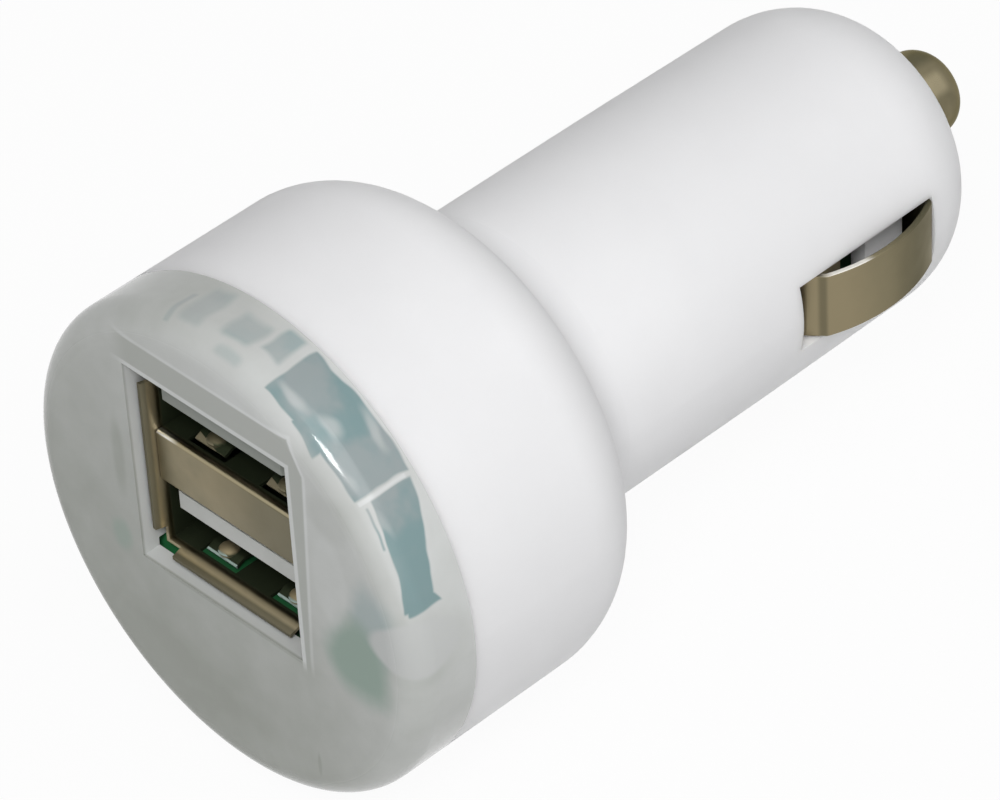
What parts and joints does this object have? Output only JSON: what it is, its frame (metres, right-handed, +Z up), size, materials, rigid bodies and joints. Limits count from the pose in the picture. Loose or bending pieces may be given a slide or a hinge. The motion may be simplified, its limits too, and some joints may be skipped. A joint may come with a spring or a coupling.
{
  "type": "car usb charger plug",
  "caption": "White moulded plug for a car's power socket, with a translucent face holding stacked charging ports, bowed side contacts in slots and a sprung tip contact.",
  "frame": {"origin": "on the plug's axis where the barrel starts, at the end of the neck, which is where the car's socket stops", "axes": "+Y along the plug from the face towards the tip contact, +X to the right seen from the face, +Z up towards the upper port"},
  "size_m": [0.0334, 0.063, 0.0334],
  "materials": {
    "shell_white": "satin moulded white plastic",
    "cap_milky": "translucent milky plastic",
    "nickel": "warm nickel plate on folded sheet",
    "tongue_white": "white moulded plastic",
    "contact_gold": "thin gold plate",
    "board_green": "green solder mask",
    "spring_steel": "plated spring wire",
    "tin": "tinned metal",
    "can_sleeve": "dark shrink sleeve",
    "ferrite": "sintered ferrite",
    "copper": "enamelled copper wire",
    "chip_black": "black moulding compound",
    "lamp_clear": "clear lamp resin",
    "ceramic_tan": "tan ceramic"
  },
  "bodies": {
    "housing": {"housing_shell": "shell_white", "face_cap": "cap_milky", "usb_shell": "nickel", "usb_divider": "nickel", "usb_insulator": "tongue_white", "usb_lower_contacts": "contact_gold", "usb_upper_contacts": "contact_gold", "circuit_board": "board_green", "tip_spring": "spring_steel", "tip_terminal": "tin", "input_capacitor": "can_sleeve", "output_capacitor": "can_sleeve", "capacitor_leads": "tin", "inductor_core": "ferrite", "inductor_winding": "copper", "converter_chip": "chip_black", "converter_leads": "tin", "rectifier_diode": "chip_black", "diode_tabs": "tin", "indicator_led": "lamp_clear", "led_leads": "tin", "chip_resistors": "chip_black", "chip_capacitors": "ceramic_tan"},
    "tip": {"tip_contact": "nickel"},
    "right_contact": {"right_side_contact": "nickel"},
    "left_contact": {"left_side_contact": "nickel"}
  },
  "joints": [
    {"name": "tip_press", "type": "slide", "parent": "housing", "child": "tip", "axis": [0, -1, 0], "range_m": [0, 0.0025], "stiffness_N_per_m": 1500, "springref_m": -0.002, "deforming": ["tip_spring"]},
    {"name": "right_contact_flex", "type": "hinge", "parent": "housing", "child": "right_contact", "pos_m": [0.007, 0.0271, 0], "axis": [0, 0, -1], "range_deg": [0, 23], "stiffness_Nm_per_rad": 0.15, "springref_deg": -2.86},
    {"name": "left_contact_flex", "type": "hinge", "parent": "housing", "child": "left_contact", "pos_m": [-0.007, 0.0271, 0], "axis": [0, 0, 1], "range_deg": [0, 23], "stiffness_Nm_per_rad": 0.15, "springref_deg": -2.86}
  ]
}
